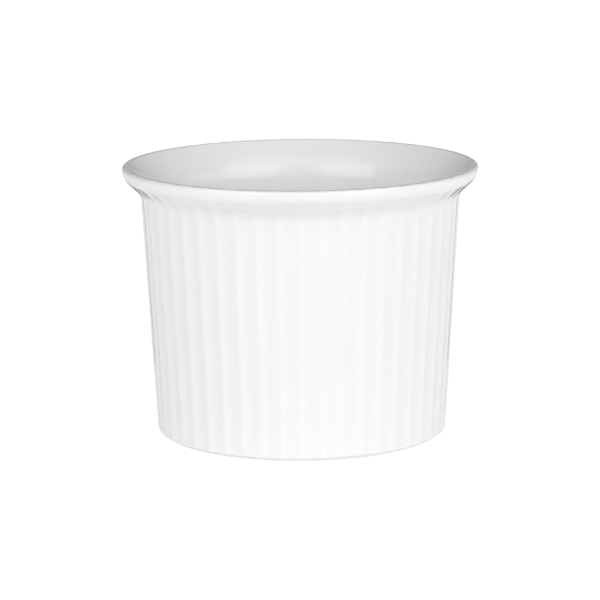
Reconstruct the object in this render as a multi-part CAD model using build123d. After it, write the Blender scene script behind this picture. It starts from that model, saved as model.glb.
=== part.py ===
from build123d import *
import math
import os

# Deep fluted ramekin: a cast porcelain pot with a flared lip, and the glaze fused over it.
# Millimetres, +Z up, origin at the centre of the foot ring's face.

# Outside of the glazed pot
height = 68.7
lip_diameter = 90.0
foot_diameter = 73.5
foot_corner_radius = 2.3

# Lip: how far it stands out from the neck, how deep it is from top to neck, and its upright side
lip_overhang = 4.65
lip_depth = 7.0
lip_side = 2.5
lip_width = 1.9
lip_edge_share = 0.42
lip_side_share = 0.9
neck_radius = 3.5

# Inside of the glazed pot
neck_wall = 3.85
foot_wall = 4.75
floor_thickness = 4.4
mouth_depth = 5.3
mouth_radius = 9.0
floor_corner_radius = 7.0

# Foot ring, and the recess under the base
foot_ring_width = 6.25
recess_depth = 1.6
recess_corner_radius = 0.8
recess_edge_radius = 0.6

# Flutes in the wall, as cast in the clay and as the glaze softens them
flute_count = 47
clay_flute_hollow = 0.42
clay_ridge_width = 0.5
glaze_flute_hollow = 0.25
glaze_ridge_width = 0.8
flute_top_share = 0.73

# Glaze, and the height of the foot that is wiped clean of it
glaze_thickness = 0.3
bare_foot_height = 0.9

# How far a cut or a half section runs past the surface that it has to clear
overrun = 5.0

# The first ridge stands at the front, which looks along -Y
front_angle = -90

lip_radius = lip_diameter / 2
foot_radius = foot_diameter / 2
neck_outer_radius = lip_radius - lip_overhang
mouth_inner_radius = neck_outer_radius - neck_wall
floor_radius = foot_radius - foot_wall
recess_radius = foot_radius - foot_ring_width
neck_height = height - lip_depth
flare_height = lip_depth - lip_side
floor_height = recess_depth + floor_thickness
wall_lean = math.atan2(neck_outer_radius - foot_radius, neck_height)
flare_angle = math.atan2(flare_height, lip_overhang)
lip_edge_radius = lip_width * lip_edge_share
lip_side_radius = lip_side_share * (lip_side - lip_edge_radius) / math.tan((math.pi / 2 - flare_angle) / 2)
foot_ring_middle = foot_radius - foot_ring_width / 2
base_middle = recess_depth + floor_thickness / 2
half_pitch = math.pi / flute_count


def dipped_outline():
    """Section of the pot with glaze all round, from just past the centre line to the lip."""
    corners = [
        ((-overrun, recess_depth), 0),
        ((recess_radius, recess_depth), recess_corner_radius),
        ((recess_radius, -glaze_thickness), recess_edge_radius),
        ((foot_radius, -glaze_thickness), foot_corner_radius),
        ((neck_outer_radius, neck_height), neck_radius),
        ((lip_radius, height - lip_side), lip_side_radius),
        ((lip_radius, height), lip_edge_radius),
        ((lip_radius - lip_width, height), lip_edge_radius),
        ((mouth_inner_radius, height - mouth_depth), mouth_radius),
        ((floor_radius, floor_height), floor_corner_radius),
        ((-overrun, floor_height), 0),
    ]
    points = [point for point, _ in corners]
    radii = [radius for _, radius in corners]
    return make_face(FilletPolyline(*points, radius=radii, close=True))


def band(inner, outer, bottom, top):
    """Rectangle of the section between two radii and two heights."""
    middle = Pos((inner + outer) / 2, (bottom + top) / 2)
    return middle * Rectangle(outer - inner, top - bottom)


def turned(section):
    """Section stood upright and turned once round the centre line."""
    return revolve(Plane.XZ * section, Axis.Z)


def wall_radius(level):
    """Radius of the wall outside, carried on straight above the neck and below the foot."""
    return foot_radius + math.tan(wall_lean) * level


def along_wall(point, level):
    """Where a line through the point reaches a level, if it closes in as the wall does."""
    return Vector(point.X * wall_radius(level) / wall_radius(point.Y), level)


def neck_corner(depth):
    """Corner between wall and flare, on lines that lie a depth inside them."""
    wall_normal = Vector(-math.cos(wall_lean), math.sin(wall_lean))
    flare_normal = Vector(-math.sin(flare_angle), math.cos(flare_angle))
    mitre = (wall_normal + flare_normal) / (1 + wall_normal.dot(flare_normal))
    return Vector(neck_outer_radius, neck_height) + mitre * depth


def flute_cutters(skin, hollow, ridge_width):
    """Cutters of all flutes, for the surface that lies a skin's thickness inside the outline.

    Each is a slice of a cone with its hub outside the pot. It leans with the wall, and its nose
    rises a little flatter than the flare, so the flute thins out and ends in an arch there.
    """
    crest = neck_outer_radius - skin / math.cos(wall_lean)
    half_width = crest * math.sin(half_pitch) - ridge_width / 2
    depth = hollow + crest - math.sqrt(crest**2 - half_width**2)
    cutter_radius = (half_width**2 + hollow**2) / (2 * hollow)
    root = neck_corner(skin + depth)
    hub = root + Vector(cutter_radius, 0)
    flare_foot = neck_corner(skin)
    flute_top = flare_foot + Vector(lip_overhang, flare_height) * flute_top_share
    nose = root + (flute_top - root) * (cutter_radius / (flute_top.X - root.X))
    hub_low = along_wall(hub, -overrun)
    hub_high = along_wall(hub, nose.Y)
    outline = FilletPolyline(
        hub_low,
        along_wall(root, -overrun),
        root,
        nose,
        hub_high,
        radius=[0, 0, neck_radius + skin + depth, 0, 0],
        close=True,
    )
    hub_line = Axis((hub_low.X, 0, hub_low.Y), (hub_high.X - hub_low.X, 0, hub_high.Y - hub_low.Y))
    half_slice = math.degrees(math.asin((half_width + ridge_width / 4) / cutter_radius))
    slice_face = (Plane.XZ * make_face(outline)).rotate(hub_line, -half_slice)
    cutter = revolve(slice_face, hub_line, revolution_arc=2 * half_slice)
    pitch = 360 / flute_count
    return [Rot(Z=front_angle + pitch * (flute + 0.5)) * cutter for flute in range(flute_count)]


def clay_section():
    """Half section of the fired clay: the outline less the glaze's thickness all round."""
    inside = offset(dipped_outline(), -glaze_thickness)
    return inside & band(0, lip_radius, -overrun, height)


def porcelain_body():
    """Fired clay pot with its foot ring, floor, wall, flared lip and flutes."""
    flutes = flute_cutters(glaze_thickness, clay_flute_hollow, clay_ridge_width)
    return turned(clay_section()) - flutes


def glaze_coat(clay):
    """Glaze over the inside, the lip and the fluted wall, down to the bare foot."""
    section = dipped_outline() & band(0, lip_radius, bare_foot_height, height)
    section -= band(0, foot_ring_middle, 0, base_middle)
    flutes = flute_cutters(0, glaze_flute_hollow, glaze_ridge_width)
    return turned(section) - flutes - clay


def base_glaze():
    """Glaze in the recess under the base, inside the bare foot ring."""
    section = dipped_outline() - clay_section()
    section &= band(0, foot_ring_middle, bare_foot_height, base_middle)
    return turned(section)


os.makedirs("parts", exist_ok=True)
body = porcelain_body()
nodes = {
    "porcelain_body": body,
    "glaze_coat": glaze_coat(body),
    "base_glaze": base_glaze(),
}
for name, shape in nodes.items():
    export_step(shape, f"parts/{name}.step")
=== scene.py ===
import math

import bpy
from mathutils import Matrix, Vector


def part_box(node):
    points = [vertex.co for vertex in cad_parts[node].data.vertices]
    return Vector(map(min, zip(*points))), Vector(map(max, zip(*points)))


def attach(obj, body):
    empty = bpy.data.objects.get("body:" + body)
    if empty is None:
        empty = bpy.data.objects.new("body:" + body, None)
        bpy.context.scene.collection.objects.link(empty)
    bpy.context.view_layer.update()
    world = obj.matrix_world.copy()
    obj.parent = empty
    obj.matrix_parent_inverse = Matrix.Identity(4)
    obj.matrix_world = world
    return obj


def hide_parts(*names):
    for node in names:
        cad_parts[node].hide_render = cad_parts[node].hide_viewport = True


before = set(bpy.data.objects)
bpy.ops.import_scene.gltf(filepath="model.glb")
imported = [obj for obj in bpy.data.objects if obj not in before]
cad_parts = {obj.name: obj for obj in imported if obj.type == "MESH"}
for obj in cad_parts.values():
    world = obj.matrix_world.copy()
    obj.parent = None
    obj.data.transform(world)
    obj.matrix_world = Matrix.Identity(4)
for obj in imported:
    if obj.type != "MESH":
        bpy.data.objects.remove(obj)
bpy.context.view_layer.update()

# Porcelain body
# The pot itself is one shell of slip-cast porcelain, fired hard and white. Floor, wall, flutes and
# flared lip are one piece of clay, and only its foot ring, which stood on the kiln shelf, is bare.
mm = 0.001
coat_low, coat_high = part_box("glaze_coat")
_, clay_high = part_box("porcelain_body")
HEIGHT = coat_high.z
LIP_RADIUS = coat_high.x
GLAZE_THICKNESS = coat_high.z - clay_high.z
FOOT_RADIUS = 36.75 * mm
FOOT_CORNER_RADIUS = 2.3 * mm
FOOT_RING_WIDTH = 6.25 * mm
RECESS_DEPTH = 1.6 * mm
RECESS_CORNER_RADIUS = 0.8 * mm
RECESS_EDGE_RADIUS = 0.6 * mm
LIP_OVERHANG = 4.65 * mm
LIP_DEPTH = 7.0 * mm
LIP_SIDE = 2.5 * mm
LIP_SIDE_RADIUS = 3.6 * mm
LIP_WIDTH = 1.9 * mm
LIP_EDGE_RADIUS = 0.8 * mm
NECK_RADIUS = 3.5 * mm
NECK_WALL = 3.85 * mm
FOOT_WALL = 4.75 * mm
FLOOR_THICKNESS = 4.4 * mm
FLOOR_CORNER_RADIUS = 7.0 * mm
MOUTH_DEPTH = 5.3 * mm
MOUTH_RADIUS = 9.0 * mm
ARC_STEP = math.radians(7)
WALL_SPAN = 4.0 * mm
FLARE_SPAN = 0.4 * mm

NECK_OUTER_RADIUS = LIP_RADIUS - LIP_OVERHANG
NECK_HEIGHT = HEIGHT - LIP_DEPTH
FLARE_HEIGHT = LIP_DEPTH - LIP_SIDE
MOUTH_INNER_RADIUS = NECK_OUTER_RADIUS - NECK_WALL
FLOOR_RADIUS = FOOT_RADIUS - FOOT_WALL
FLOOR_HEIGHT = RECESS_DEPTH + FLOOR_THICKNESS
RECESS_RADIUS = FOOT_RADIUS - FOOT_RING_WIDTH

# Each corner of the glazed pot's half section, its rounding, and the spacing of rows after it
POT_CORNERS = [
    ((0, RECESS_DEPTH), 0, 2 * WALL_SPAN),
    ((RECESS_RADIUS, RECESS_DEPTH), RECESS_CORNER_RADIUS, WALL_SPAN),
    ((RECESS_RADIUS, -GLAZE_THICKNESS), RECESS_EDGE_RADIUS, WALL_SPAN),
    ((FOOT_RADIUS, -GLAZE_THICKNESS), FOOT_CORNER_RADIUS, WALL_SPAN),
    ((NECK_OUTER_RADIUS, NECK_HEIGHT), NECK_RADIUS, FLARE_SPAN),
    ((LIP_RADIUS, HEIGHT - LIP_SIDE), LIP_SIDE_RADIUS, WALL_SPAN),
    ((LIP_RADIUS, HEIGHT), LIP_EDGE_RADIUS, WALL_SPAN),
    ((LIP_RADIUS - LIP_WIDTH, HEIGHT), LIP_EDGE_RADIUS, WALL_SPAN),
    ((MOUTH_INNER_RADIUS, HEIGHT - MOUTH_DEPTH), MOUTH_RADIUS, 2 * WALL_SPAN),
    ((FLOOR_RADIUS, FLOOR_HEIGHT), FLOOR_CORNER_RADIUS, 2 * WALL_SPAN),
    ((0, FLOOR_HEIGHT), 0, WALL_SPAN),
]


def outward(along):
    """The side of a path that faces away from the clay, which lies on its left."""
    return Vector((along.y, -along.x)).normalized()


def corner_arc(before, corner, after, radius):
    """Rows of one rounded corner: each is a point and the way that the surface faces there."""
    arrive = (corner - before).normalized()
    leave = (after - corner).normalized()
    turn = -arrive.angle_signed(leave)
    bulge = math.copysign(radius, turn)
    start = corner - arrive * radius * math.tan(abs(turn) / 2)
    centre = start - outward(arrive) * bulge
    steps = math.ceil(abs(turn) / ARC_STEP)
    turns = [Matrix.Rotation(turn * step / steps, 2) for step in range(steps + 1)]
    facings = [one_turn @ outward(arrive) for one_turn in turns]
    return [(centre + facing * bulge, facing) for facing in facings]


def pot_outline():
    """Rows of the whole half section of the glazed pot, from the recess's centre to the floor's.

    Each row is a point, the way that the surface faces there, and how far on its flute has run.
    """
    points = [Vector(point) for point, _, _ in POT_CORNERS]
    rows = [(points[0], outward(points[1] - points[0]))]
    for place in range(1, len(points)):
        if place < len(points) - 1:
            arc = corner_arc(*points[place - 1 : place + 2], POT_CORNERS[place][1])
        else:
            arc = [(points[-1], rows[-1][1])]
        last, facing = rows[-1]
        run = arc[0][0] - last
        spans = math.ceil(run.length / POT_CORNERS[place - 1][2])
        rows += [(last + run * step / spans, facing) for step in range(1, spans)]
        rows += arc
    return [(point, facing, flute_run(point, facing)) for point, facing in rows]


FLUTES = 47
STEPS_PER_FLUTE = 14
FLUTE_TOP_SHARE = 0.73
FLUTE_DEPTH = 0.32 * mm
CLAY_HOLLOW = 0.42 * mm
CLAY_RIDGE = 0.5 * mm
GLAZE_HOLLOW = 0.25 * mm
GLAZE_RIDGE = 0.8 * mm
RIDGE_SOFTNESS = 0.10 * mm
END_SOFTNESS = 0.6 * mm
UNEVENNESS = 0.015 * mm
UNEVENNESS_SIZE = 9.0 * mm
UNEVENNESS_SEED = 4.0
PAST_TOP_FALL = 4.0
ENDED = -3.0
MERGE_DISTANCE = 0.001 * mm


def wall_radius(level):
    """Radius of the wall outside, carried on straight above the neck and below the foot."""
    return FOOT_RADIUS + (NECK_OUTER_RADIUS - FOOT_RADIUS) * level / NECK_HEIGHT


def flute_run(point, facing):
    """Share of its depth that a flute has at a point: 1 on the wall, below 0 where it has ended.

    Past the flute's top it falls off faster, so that the side of the lip stays plain.
    """
    if facing.x <= 0 or point.x < FOOT_RADIUS - FOOT_CORNER_RADIUS:
        return ENDED
    stands_out = point.x - wall_radius(point.y)
    if stands_out < 0:
        return max(ENDED, 1 + stands_out / FLUTE_DEPTH)
    top = NECK_HEIGHT + FLUTE_TOP_SHARE * FLARE_HEIGHT
    top_stands_out = NECK_OUTER_RADIUS + FLUTE_TOP_SHARE * LIP_OVERHANG - wall_radius(top)
    left = 1 - stands_out / top_stands_out
    return max(ENDED, min(left, PAST_TOP_FALL * left))


def sunk(rows, depth):
    """The same rows, lying a depth under the surface of the glaze."""
    return [(point - facing * depth, facing, run) for point, facing, run in rows]


def section_mesh(name, skins):
    """Rows as one chain of points, with what the turning needs to know of each as attributes."""
    rows = [row for skin, _ in skins for row in skin]
    mesh = bpy.data.meshes.new(name)
    mesh.from_pydata([(point.x, 0, point.y) for point, _, _ in rows], [], [])
    ways = [part for _, facing, _ in rows for part in (facing.x, 0, facing.y)]
    mesh.attributes.new("facing", "FLOAT_VECTOR", "POINT").data.foreach_set("vector", ways)
    runs = [run for _, _, run in rows]
    mesh.attributes.new("run", "FLOAT", "POINT").data.foreach_set("value", runs)
    in_clays = [in_clay for skin, in_clay in skins for _ in skin]
    mesh.attributes.new("clay", "FLOAT", "POINT").data.foreach_set("value", in_clays)
    return mesh


def wire(tree, kind, inputs=None, take=None, **settings):
    """Adds a node, sets it, fills or joins its inputs, and gives back one of its outputs."""
    node = tree.nodes.new(kind)
    for name, value in settings.items():
        setattr(node, name, value)
    for key, value in (inputs or {}).items():
        usable = [socket for socket in node.inputs if socket.enabled]
        socket = usable[key] if isinstance(key, int) else next(s for s in usable if s.name == key)
        if isinstance(value, bpy.types.NodeSocket):
            tree.links.new(value, socket)
        else:
            socket.default_value = value
    if take:
        return node.outputs[take]
    return next(socket for socket in node.outputs if socket.enabled)


def turning_tree():
    """Node tree that turns a section round the centre line and presses the flutes into it."""
    tree = bpy.data.node_groups.new("Turned and Fluted Pot", "GeometryNodeTree")
    for name, kind in (
        ("Section", "Geometry"),
        ("Flutes", "Int"),
        ("Steps per Flute", "Int"),
        ("Neck Radius", "Float"),
        ("Glaze Hollow", "Float"),
        ("Glaze Ridge", "Float"),
        ("Clay Hollow", "Float"),
        ("Clay Ridge", "Float"),
        ("Ridge Softness", "Float"),
        ("End Softness", "Float"),
        ("Unevenness", "Float"),
        ("Unevenness Size", "Float"),
        ("Seed", "Float"),
        ("Finish", "Material"),
    ):
        tree.interface.new_socket(name=name, in_out="INPUT", socket_type=f"NodeSocket{kind}")
    tree.interface.new_socket(name="Pot", in_out="OUTPUT", socket_type="NodeSocketGeometry")
    given = tree.nodes.new("NodeGroupInput").outputs

    def maths(operation, *values):
        return wire(tree, "ShaderNodeMath", dict(enumerate(values)), operation=operation)

    def mixed(share, low, high):
        return wire(tree, "ShaderNodeMix", {"Factor": share, "A": low, "B": high})

    def attribute(name, kind):
        return wire(tree, "GeometryNodeInputNamedAttribute", {"Name": name}, data_type=kind)

    def of_row(value, kind):
        inputs = {"Geometry": given["Section"], "Value": value, "Index": row}
        return wire(tree, "GeometryNodeSampleIndex", inputs, data_type=kind)

    # A sheet of quads, one column of it for each step round the pot
    rows = wire(tree, "GeometryNodeAttributeDomainSize", {"Geometry": given["Section"]})
    columns = maths("MULTIPLY", given["Flutes"], given["Steps per Flute"])
    sheet_size = {"Vertices X": maths("ADD", columns, 1), "Vertices Y": rows}
    sheet = wire(tree, "GeometryNodeMeshGrid", sheet_size)
    index = wire(tree, "GeometryNodeInputIndex")
    column = maths("FLOOR", maths("DIVIDE", maths("ADD", index, 0.5), rows))
    row = maths("ROUND", maths("SUBTRACT", index, maths("MULTIPLY", column, rows)))
    point = of_row(wire(tree, "GeometryNodeInputPosition"), "FLOAT_VECTOR")
    facing = of_row(attribute("facing", "FLOAT_VECTOR"), "FLOAT_VECTOR")
    run = of_row(attribute("run", "FLOAT"), "FLOAT")
    clay = of_row(attribute("clay", "FLOAT"), "FLOAT")

    # Place across one flute: 0 at its centre line, 1 at the ridge beside it
    turn = maths("DIVIDE", column, columns)
    in_flute = maths("FRACT", maths("MULTIPLY", turn, given["Flutes"]))
    across = maths("MULTIPLY", maths("ABSOLUTE", maths("SUBTRACT", in_flute, 0.5)), 2)

    # Depth of the press: the hollow and the bow of the wall between two ridges, less towards the
    # ridges and towards the flute's top, where its end in the flare is softer still
    hollow = mixed(clay, given["Glaze Hollow"], given["Clay Hollow"])
    ridge = mixed(clay, given["Glaze Ridge"], given["Clay Ridge"])
    half_pitch = maths("DIVIDE", maths("MULTIPLY", given["Neck Radius"], math.pi), given["Flutes"])
    half_width = maths("SUBTRACT", half_pitch, maths("MULTIPLY", ridge, 0.5))
    half_width_squared = maths("MULTIPLY", half_width, half_width)
    bow = maths("DIVIDE", half_width_squared, maths("MULTIPLY", given["Neck Radius"], 2))
    full_depth = maths("ADD", hollow, bow)
    edge_share = maths("DIVIDE", maths("MULTIPLY", across, half_pitch), half_width)
    share = maths("SUBTRACT", run, maths("MULTIPLY", edge_share, edge_share))
    softness = mixed(run, given["End Softness"], given["Ridge Softness"])
    depth = maths("SMOOTH_MAX", maths("MULTIPLY", share, full_depth), 0, softness)
    radius = wire(tree, "ShaderNodeSeparateXYZ", {0: point}, take="X")
    pressed = maths("MULTIPLY", depth, maths("DIVIDE", radius, given["Neck Radius"]))

    # Slight unevenness of the cast wall, then the turn round the centre line
    angle = maths("SUBTRACT", maths("MULTIPLY", turn, math.tau), math.pi / 2)
    spot = {"Vector": point, "Angle": angle}
    noise_inputs = {
        "Vector": wire(tree, "ShaderNodeVectorRotate", spot, rotation_type="Z_AXIS"),
        "W": given["Seed"],
        "Scale": maths("DIVIDE", 1, given["Unevenness Size"]),
        "Detail": 1.0,
    }
    noise = wire(tree, "ShaderNodeTexNoise", noise_inputs, noise_dimensions="4D")
    sunk_by = maths("ADD", pressed, maths("MULTIPLY", noise, given["Unevenness"]))
    inward = wire(tree, "ShaderNodeVectorMath", {0: facing, "Scale": sunk_by}, operation="SCALE")
    shifted = wire(tree, "ShaderNodeVectorMath", {0: point, 1: inward}, operation="SUBTRACT")
    spot = {"Vector": shifted, "Angle": angle}
    place = wire(tree, "ShaderNodeVectorRotate", spot, rotation_type="Z_AXIS")
    skin = wire(tree, "GeometryNodeSetPosition", {"Geometry": sheet, "Position": place})
    kept = {"Geometry": skin, "Name": "hollow", "Value": maths("DIVIDE", depth, full_depth)}
    skin = wire(tree, "GeometryNodeStoreNamedAttribute", kept)

    # The seam and the rows on the centre line close up, and what they leave over goes
    skin = wire(tree, "GeometryNodeMergeByDistance", {"Geometry": skin, "Distance": MERGE_DISTANCE})
    edge_faces = wire(tree, "GeometryNodeInputMeshEdgeNeighbors")
    settings = {"data_type": "INT", "operation": "EQUAL"}
    loose = wire(tree, "FunctionNodeCompare", {0: edge_faces, 1: 0}, **settings)
    settings = {"domain": "EDGE", "mode": "EDGE_FACE"}
    picked = {"Geometry": skin, "Selection": loose}
    skin = wire(tree, "GeometryNodeDeleteGeometry", picked, **settings)
    skin = wire(tree, "GeometryNodeSetShadeSmooth", {"Geometry": skin})
    skin = wire(tree, "GeometryNodeRealizeInstances", {"Geometry": skin})
    finished = {"Geometry": skin, "Material": given["Finish"]}
    skin = wire(tree, "GeometryNodeSetMaterial", finished)
    tree.links.new(skin, tree.nodes.new("NodeGroupOutput").inputs["Pot"])
    return tree


TURNING = turning_tree()


def turned_piece(name, section, finish):
    """A plain mesh object, turned from a section by the node tree."""
    piece = bpy.data.objects.new(name, section)
    bpy.context.scene.collection.objects.link(piece)
    modifier = piece.modifiers.new("Turning", "NODES")
    modifier.node_group = TURNING
    sizes = {
        "Flutes": FLUTES,
        "Steps per Flute": STEPS_PER_FLUTE,
        "Neck Radius": NECK_OUTER_RADIUS,
        "Glaze Hollow": GLAZE_HOLLOW,
        "Glaze Ridge": GLAZE_RIDGE,
        "Clay Hollow": CLAY_HOLLOW,
        "Clay Ridge": CLAY_RIDGE,
        "Ridge Softness": RIDGE_SOFTNESS,
        "End Softness": END_SOFTNESS,
        "Unevenness": UNEVENNESS,
        "Unevenness Size": UNEVENNESS_SIZE,
        "Seed": UNEVENNESS_SEED,
        "Finish": finish,
    }
    for socket in TURNING.interface.items_tree:
        if socket.name in sizes:
            modifier[socket.identifier] = sizes[socket.name]
    turned = piece.evaluated_get(bpy.context.evaluated_depsgraph_get())
    shaped = bpy.data.meshes.new_from_object(turned)
    piece.modifiers.clear()
    piece.data = shaped
    shaped.name = name
    shaped.materials.clear()
    shaped.materials.append(finish)
    shaped.polygons.foreach_set("material_index", [0] * len(shaped.polygons))
    return piece


def shader_group(name, sockets):
    """An empty shader node group with its named inputs and outputs."""
    tree = bpy.data.node_groups.new(name, "ShaderNodeTree")
    for socket, way, kind in sockets:
        tree.interface.new_socket(name=socket, in_out=way, socket_type=f"NodeSocket{kind}")
    return tree, tree.nodes.new("NodeGroupInput").outputs, tree.nodes.new("NodeGroupOutput").inputs


def uneven_skin():
    """Shader group: a surface that rises and falls softly, and is rougher where it rises."""
    sockets = (
        ("Size", "INPUT", "Float"),
        ("Detail", "INPUT", "Float"),
        ("Smoothest", "INPUT", "Float"),
        ("Roughest", "INPUT", "Float"),
        ("Height", "OUTPUT", "Float"),
        ("Roughness", "OUTPUT", "Float"),
    )
    tree, given, result = shader_group("Uneven Skin", sockets)
    inputs = {
        "Vector": wire(tree, "ShaderNodeTexCoord", take="Object"),
        "Scale": wire(tree, "ShaderNodeMath", {0: 1.0, 1: given["Size"]}, operation="DIVIDE"),
        "Detail": given["Detail"],
    }
    height = wire(tree, "ShaderNodeTexNoise", inputs)
    span = {"Value": height, "To Min": given["Smoothest"], "To Max": given["Roughest"]}
    tree.links.new(height, result["Height"])
    tree.links.new(wire(tree, "ShaderNodeMapRange", span), result["Roughness"])
    return tree


def kiln_marks():
    """Shader group: a colour that clouds softly towards another, with rare pin-prick specks."""
    sockets = (
        ("Colour", "INPUT", "Color"),
        ("Clouded", "INPUT", "Color"),
        ("Specks", "INPUT", "Color"),
        ("Cloud Size", "INPUT", "Float"),
        ("Speck Spacing", "INPUT", "Float"),
        ("Speck Radius", "INPUT", "Float"),
        ("Base Color", "OUTPUT", "Color"),
    )
    tree, given, result = shader_group("Kiln Marks", sockets)
    place = wire(tree, "ShaderNodeTexCoord", take="Object")
    scale = wire(tree, "ShaderNodeMath", {0: 1.0, 1: given["Cloud Size"]}, operation="DIVIDE")
    cloud = wire(tree, "ShaderNodeTexNoise", {"Vector": place, "Scale": scale, "Detail": 3.0})
    cloud = wire(tree, "ShaderNodeMapRange", {"Value": cloud, "From Min": 0.35, "From Max": 0.65})
    inputs = {"Factor": cloud, "A": given["Colour"], "B": given["Clouded"]}
    colour = wire(tree, "ShaderNodeMix", inputs, data_type="RGBA")
    scale = wire(tree, "ShaderNodeMath", {0: 1.0, 1: given["Speck Spacing"]}, operation="DIVIDE")
    away = wire(tree, "ShaderNodeTexVoronoi", {"Vector": place, "Scale": scale}, take="Distance")
    away = wire(tree, "ShaderNodeMath", {0: away, 1: given["Speck Spacing"]}, operation="MULTIPLY")
    reach = {
        "Value": away,
        "From Min": 0.0,
        "From Max": given["Speck Radius"],
        "To Min": 1.0,
        "To Max": 0.0,
    }
    speck = wire(tree, "ShaderNodeMapRange", reach)
    inputs = {"Factor": speck, "A": colour, "B": given["Specks"]}
    tree.links.new(wire(tree, "ShaderNodeMix", inputs, data_type="RGBA"), result["Base Color"])
    return tree


UNEVEN_SKIN = uneven_skin()
KILN_MARKS = kiln_marks()


def bare_porcelain():
    """Unglazed fired clay: matte, faintly warm, with a fine grain."""
    material = bpy.data.materials.new("Bare Porcelain")
    material.use_nodes = True
    tree = material.node_tree
    shader = tree.nodes["Principled BSDF"]
    marks = {
        "Colour": (0.86, 0.85, 0.82, 1),
        "Clouded": (0.80, 0.79, 0.76, 1),
        "Specks": (0.50, 0.46, 0.40, 1),
        "Cloud Size": 1.6 * mm,
        "Speck Spacing": 3.5 * mm,
        "Speck Radius": 0.12 * mm,
    }
    colour = wire(tree, "ShaderNodeGroup", marks, "Base Color", node_tree=KILN_MARKS)
    tree.links.new(colour, shader.inputs["Base Color"])
    grain = {"Size": 0.35 * mm, "Detail": 4.0, "Smoothest": 0.6, "Roughest": 0.8}
    rough = wire(tree, "ShaderNodeGroup", grain, "Roughness", node_tree=UNEVEN_SKIN)
    tree.links.new(rough, shader.inputs["Roughness"])
    bump = {"Height": rough.node.outputs["Height"], "Distance": 0.04 * mm, "Strength": 0.5}
    tree.links.new(wire(tree, "ShaderNodeBump", bump), shader.inputs["Normal"])
    return material


outline = pot_outline()
clay_section = section_mesh("clay section", [(sunk(outline, GLAZE_THICKNESS), 1)])
body = turned_piece("porcelain_pot", clay_section, bare_porcelain())
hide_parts("porcelain_body")
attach(body, "root")

# Glaze coat
# White glaze, fused on in the second firing. It runs unbroken from the bare foot up the flutes, over
# the lip and down to the floor inside. It lies thin on the ridges and pools in the hollows.
BARE_FOOT_HEIGHT = coat_low.z
BACKING_STEP = 3


def cut_at(rows, level):
    """The row at a level, between the two rows that lie on either side of it."""
    for (low, low_facing, low_run), (high, high_facing, high_run) in zip(rows, rows[1:]):
        if low.y != high.y and min(low.y, high.y) <= level <= max(low.y, high.y):
            share = (level - low.y) / (high.y - low.y)
            facing = low_facing.lerp(high_facing, share).normalized()
            return low.lerp(high, share), facing, low_run + (high_run - low_run) * share


foot_face = max(place for place, (_, facing, _) in enumerate(outline) if facing.y < -0.99)
outer_rows = outline[foot_face + 1 :]
glazed = [cut_at(outer_rows, BARE_FOOT_HEIGHT)]
glazed += [row for row in outer_rows if row[0].y > BARE_FOOT_HEIGHT]

# The side that lies on the clay isn't seen, so it keeps only some of its rows
backing = sunk(glazed, GLAZE_THICKNESS)[::-1]
backing = backing[:1] + backing[1:-1:BACKING_STEP] + backing[-1:]


def white_glaze():
    """Glossy white glaze: a shade greyer where it pools, with a slightly rippled skin."""
    material = bpy.data.materials.new("White Glaze")
    material.use_nodes = True
    tree = material.node_tree
    shader = tree.nodes["Principled BSDF"]
    marks = {
        "Colour": (0.848, 0.848, 0.845, 1),
        "Clouded": (0.838, 0.838, 0.836, 1),
        "Specks": (0.79, 0.78, 0.76, 1),
        "Cloud Size": 14.0 * mm,
        "Speck Spacing": 6.0 * mm,
        "Speck Radius": 0.10 * mm,
    }
    colour = wire(tree, "ShaderNodeGroup", marks, "Base Color", node_tree=KILN_MARKS)
    pooled = wire(tree, "ShaderNodeAttribute", take="Fac", attribute_name="hollow")
    tint = {"Factor": pooled, "A": colour, "B": (0.822, 0.825, 0.826, 1)}
    colour = wire(tree, "ShaderNodeMix", tint, data_type="RGBA")
    tree.links.new(colour, shader.inputs["Base Color"])
    ripple = {"Size": 4.0 * mm, "Detail": 2.0, "Smoothest": 0.06, "Roughest": 0.14}
    rough = wire(tree, "ShaderNodeGroup", ripple, "Roughness", node_tree=UNEVEN_SKIN)
    tree.links.new(rough, shader.inputs["Roughness"])
    bump = {"Height": rough.node.outputs["Height"], "Distance": 0.03 * mm, "Strength": 0.25}
    tree.links.new(wire(tree, "ShaderNodeBump", bump), shader.inputs["Normal"])
    return material


GLAZE = white_glaze()
coat_section = section_mesh("coat section", [(glazed, 0), (backing, 1), (glazed[:1], 0)])
coat = turned_piece("glaze_skin", coat_section, GLAZE)
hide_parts("glaze_coat")
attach(coat, "root")

# Base glaze
# A pour of the same glaze in the shallow recess under the base. It was wiped off the foot ring, so
# that the pot didn't stick to the kiln shelf, and the bare ring parts it from the coat outside.
ring_side = min(place for place, (point, _, _) in enumerate(outline) if point.y < BARE_FOOT_HEIGHT)
under = outline[:ring_side] + [cut_at(outline, BARE_FOOT_HEIGHT)]
under_clay = sunk(under, GLAZE_THICKNESS)[::-1]
base_section = section_mesh("base section", [(under, 0), (under_clay, 1), (under[:1], 0)])
base = turned_piece("base_glaze_skin", base_section, GLAZE)
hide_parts("base_glaze")
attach(base, "root")

# Studio
# A wide white table, a softbox on either side of the camera, a reflector on the right, and two black
# cards that the glaze mirrors as dark lines down its edges. The room is pale in front, paler still
# high up, dark right above the pot and dim behind it.
FLOOR_HALF = 6.0
TABLE_WHITE = (0.72, 0.72, 0.72, 1)
TABLE_GLOW = 0.36
SEEN_GLOW = 1.08
SEEN_SHARE = 0.88
floor_corners = [(-FLOOR_HALF, -FLOOR_HALF, 0), (FLOOR_HALF, -FLOOR_HALF, 0)]
floor_corners += [(FLOOR_HALF, FLOOR_HALF, 0), (-FLOOR_HALF, FLOOR_HALF, 0)]
floor_mesh = bpy.data.meshes.new("studio floor")
floor_mesh.from_pydata(floor_corners, [], [(0, 1, 2, 3)])
floor = bpy.data.objects.new("studio_floor", floor_mesh)
bpy.context.scene.collection.objects.link(floor)


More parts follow.
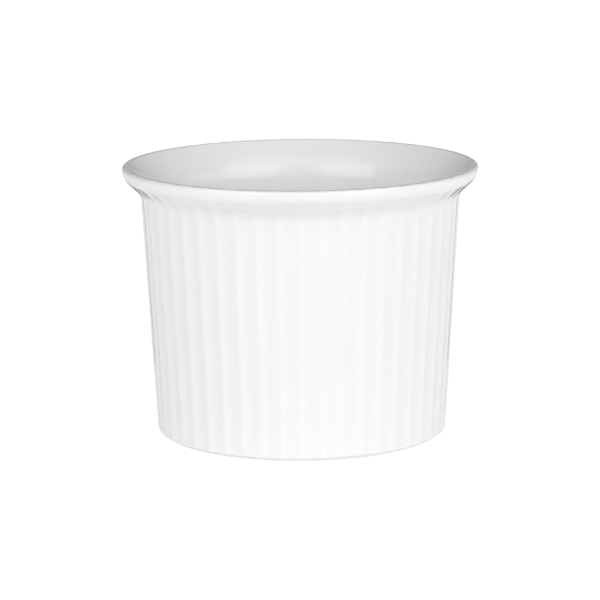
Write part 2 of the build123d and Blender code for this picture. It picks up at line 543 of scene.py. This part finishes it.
def table_white():
    """Matte white that is lit a little from below, and shows nearly white with soft shadows."""
    material = bpy.data.materials.new("Studio Floor")
    material.use_nodes = True
    tree = material.node_tree
    shader = tree.nodes["Principled BSDF"]
    shader.inputs["Base Color"].default_value = TABLE_WHITE
    shader.inputs["Roughness"].default_value = 1.0
    shader.inputs["Emission Color"].default_value = (1, 1, 1, 1)
    shader.inputs["Emission Strength"].default_value = TABLE_GLOW
    glow = wire(tree, "ShaderNodeEmission", {"Color": (1, 1, 1, 1), "Strength": SEEN_GLOW})
    seen = wire(tree, "ShaderNodeLightPath", take="Is Camera Ray")
    share = wire(tree, "ShaderNodeMath", {0: seen, 1: SEEN_SHARE}, operation="MULTIPLY")
    mix = wire(tree, "ShaderNodeMixShader", {0: share, 1: shader.outputs["BSDF"], 2: glow})
    tree.links.new(mix, tree.nodes["Material Output"].inputs["Surface"])
    return material


floor_mesh.materials.append(table_white())

world = bpy.data.worlds.new("studio")
bpy.context.scene.world = world
world.use_nodes = True
tree = world.node_tree
background = tree.nodes["Background"]
background.inputs["Color"].default_value = (1, 1, 1, 1)
PALE_IN_FRONT = 0.52
PALER_HIGH_UP = 0.75
DARK_ABOVE = 0.05
DIM_BEHIND = 0.24
DIM_HIGH_BEHIND = 0.28
way = wire(tree, "ShaderNodeTexCoord", take="Generated")
depth_way = wire(tree, "ShaderNodeSeparateXYZ", {0: way}, take="Y")
upward = depth_way.node.outputs["Z"]


def graded(value, low, high, at_low, at_high):
    """Brightness that goes softly from one value to another as a direction turns."""
    inputs = {"Value": value, "From Min": low, "From Max": high, "To Min": at_low, "To Max": at_high}
    return wire(tree, "ShaderNodeMapRange", inputs, interpolation_type="SMOOTHSTEP")


in_front = graded(upward, 0.70, 0.76, PALE_IN_FRONT, PALER_HIGH_UP)
overhead = graded(upward, 0.93, 0.955, 0.0, 1.0)
in_front = wire(tree, "ShaderNodeMix", {"Factor": overhead, "A": in_front, "B": DARK_ABOVE})
behind = graded(upward, 0.50, 0.90, DIM_BEHIND, DIM_HIGH_BEHIND)
turned_back = graded(depth_way, -0.14, 0.0, 0.0, 1.0)
sky = wire(tree, "ShaderNodeMix", {"Factor": turned_back, "A": in_front, "B": behind})
seen = wire(tree, "ShaderNodeLightPath", take="Is Camera Ray")
strength = wire(tree, "ShaderNodeMix", {"Factor": seen, "A": sky, "B": 1.0})
tree.links.new(strength, background.inputs["Strength"])

LAMP_DISTANCE = 1.2


def softbox(name, turn, rise, spread, height, brightness):
    """A large soft lamp at a bearing from the front, as wide and high as the angles it fills."""
    light = bpy.data.lights.new(name, "AREA")
    light.shape = "RECTANGLE"
    light.size = 2 * LAMP_DISTANCE * math.tan(math.radians(spread / 2))
    light.size_y = 2 * LAMP_DISTANCE * math.tan(math.radians(height / 2))
    light.energy = math.pi * light.size * light.size_y * brightness
    lamp = bpy.data.objects.new(name, light)
    bpy.context.scene.collection.objects.link(lamp)
    turn = math.radians(turn)
    rise = math.radians(rise)
    level = math.cos(rise)
    away = Vector((math.sin(turn) * level, -math.cos(turn) * level, math.sin(rise)))
    lamp.location = Vector((0, 0, HEIGHT / 2)) + away * LAMP_DISTANCE
    lamp.rotation_euler = (-away).to_track_quat("-Z", "Y").to_euler()


softbox("left softbox", turn=-43, rise=28.5, spread=44, height=41, brightness=1.85)
softbox("right softbox", turn=43, rise=28.5, spread=44, height=41, brightness=1.85)
softbox("right reflector", turn=85, rise=15, spread=36, height=24, brightness=1.1)

CARD_BEHIND = 45.0 * mm
CARD_NEAR = 40.0 * mm
CARD_FAR = 58.0 * mm
CARD_LOW = 6.0 * mm
CARD_TOP = 54.0 * mm


def card_black():
    """Matte black card."""
    material = bpy.data.materials.new("Black Card")
    material.use_nodes = True
    shader = material.node_tree.nodes["Principled BSDF"]
    shader.inputs["Base Color"].default_value = (0.04, 0.04, 0.04, 1)
    shader.inputs["Roughness"].default_value = 1.0
    return material


def edge_card(name, side, finish):
    """A card that stands behind the pot at one side, and doesn't show in the picture itself."""
    near, far = side * CARD_NEAR, side * CARD_FAR
    corners = [(near, CARD_BEHIND, CARD_LOW), (far, CARD_BEHIND, CARD_LOW)]
    corners += [(far, CARD_BEHIND, CARD_TOP), (near, CARD_BEHIND, CARD_TOP)]
    mesh = bpy.data.meshes.new(name)
    mesh.from_pydata(corners, [], [(0, 1, 2, 3)])
    mesh.materials.append(finish)
    card = bpy.data.objects.new(name, mesh)
    bpy.context.scene.collection.objects.link(card)
    card.visible_camera = False


CARD_BLACK = card_black()
edge_card("left_card", -1, CARD_BLACK)
edge_card("right_card", 1, CARD_BLACK)

# Camera
# A long lens at arm's length, a little above the lip, turned a hair to the right as in the picture.
CAMERA_DISTANCE = 800.0 * mm
CAMERA_RISE = math.radians(11.058)
CAMERA_ROLL = math.radians(0.424)
AIM = Vector((-0.25 * mm, 0, 33.576 * mm))
FRAME_PIXELS = 600
FOCAL_PIXELS = 3138.2
camera_data = bpy.data.cameras.new("camera")
camera_data.sensor_width = 36.0
camera_data.lens = camera_data.sensor_width * FOCAL_PIXELS / FRAME_PIXELS
camera_data.clip_start = 0.01
camera_data.clip_end = 50
camera = bpy.data.objects.new("camera", camera_data)
bpy.context.scene.collection.objects.link(camera)
back = Vector((0, -math.cos(CAMERA_RISE), math.sin(CAMERA_RISE)))
look = (-back).to_track_quat("-Z", "Y").to_matrix().to_4x4()
roll = Matrix.Rotation(-CAMERA_ROLL, 4, "Z")
camera.matrix_world = Matrix.Translation(AIM + back * CAMERA_DISTANCE) @ look @ roll
bpy.context.scene.camera = camera

bpy.context.scene.view_settings.view_transform = "Standard"
